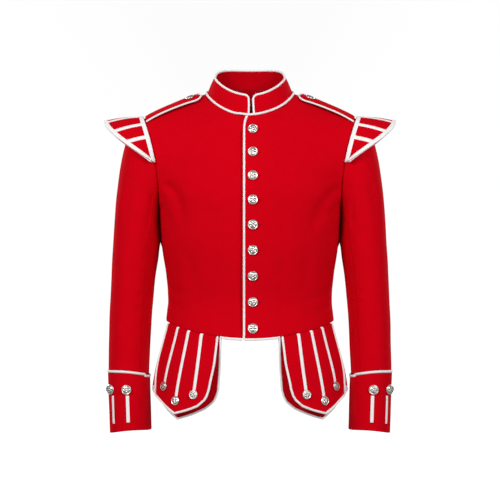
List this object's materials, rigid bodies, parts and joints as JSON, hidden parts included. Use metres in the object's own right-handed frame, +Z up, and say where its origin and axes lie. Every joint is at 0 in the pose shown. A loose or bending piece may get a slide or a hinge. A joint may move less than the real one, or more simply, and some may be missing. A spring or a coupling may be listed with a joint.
{
  "type": "military doublet",
  "caption": "Short fitted military doublet with stand collar, shoulder wings and straps, piped edges, gauntlet cuffs, skirt tashes and domed metal buttons, in its worn hollow form.",
  "frame": {"origin": "midway between the neck points of the two shoulder seams, on the middle plane, where the wearer's shoulders carry the garment", "axes": "+Z up, the front faces -Y, +X to the wearer's left"},
  "size_m": [0.6012, 0.253, 0.7459],
  "materials": {
    "red_wool": "felted wool twill, matt with a soft nap",
    "white_braid": "woven white braid and corded piping",
    "silver_metal": "silver plated, darkened in the recesses"
  },
  "bodies": {
    "root": {"front_left": "red_wool", "front_right": "red_wool", "back_left": "red_wool", "back_right": "red_wool", "collar": "red_wool", "top_sleeve_left": "red_wool", "top_sleeve_right": "red_wool", "under_sleeve_left": "red_wool", "under_sleeve_right": "red_wool", "cuff_left": "red_wool", "cuff_right": "red_wool", "top_tash_left": "red_wool", "top_tash_right": "red_wool", "under_tash_left": "red_wool", "under_tash_right": "red_wool", "wing_left": "red_wool", "wing_right": "red_wool", "strap_left": "red_wool", "strap_right": "red_wool", "collar_piping": "white_braid", "neck_seam_piping": "white_braid", "front_edge_piping": "white_braid", "right_hem_piping": "white_braid", "cuff_piping_left": "white_braid", "cuff_piping_right": "white_braid", "top_tash_piping_left": "white_braid", "top_tash_piping_right": "white_braid", "wing_braid_left": "white_braid", "wing_braid_right": "white_braid", "tash_stripe_inner_left": "white_braid", "tash_stripe_inner_right": "white_braid", "tash_stripe_middle_left": "white_braid", "tash_stripe_middle_right": "white_braid", "tash_stripe_outer_left": "white_braid", "tash_stripe_outer_right": "white_braid", "cuff_stripe_front_left": "white_braid", "cuff_stripe_front_right": "white_braid", "cuff_stripe_side_left": "white_braid", "cuff_stripe_side_right": "white_braid", "front_button_1": "silver_metal", "front_button_2": "silver_metal", "front_button_3": "silver_metal", "front_button_4": "silver_metal", "front_button_5": "silver_metal", "front_button_6": "silver_metal", "front_button_7": "silver_metal", "front_button_8": "silver_metal", "front_button_9": "silver_metal", "tash_button_inner_left": "silver_metal", "tash_button_inner_right": "silver_metal", "tash_button_middle_left": "silver_metal", "tash_button_middle_right": "silver_metal", "tash_button_outer_left": "silver_metal", "tash_button_outer_right": "silver_metal", "cuff_button_front_left": "silver_metal", "cuff_button_front_right": "silver_metal", "cuff_button_side_left": "silver_metal", "cuff_button_side_right": "silver_metal", "strap_button_left": "silver_metal", "strap_button_right": "silver_metal"}
  },
  "joints": []
}
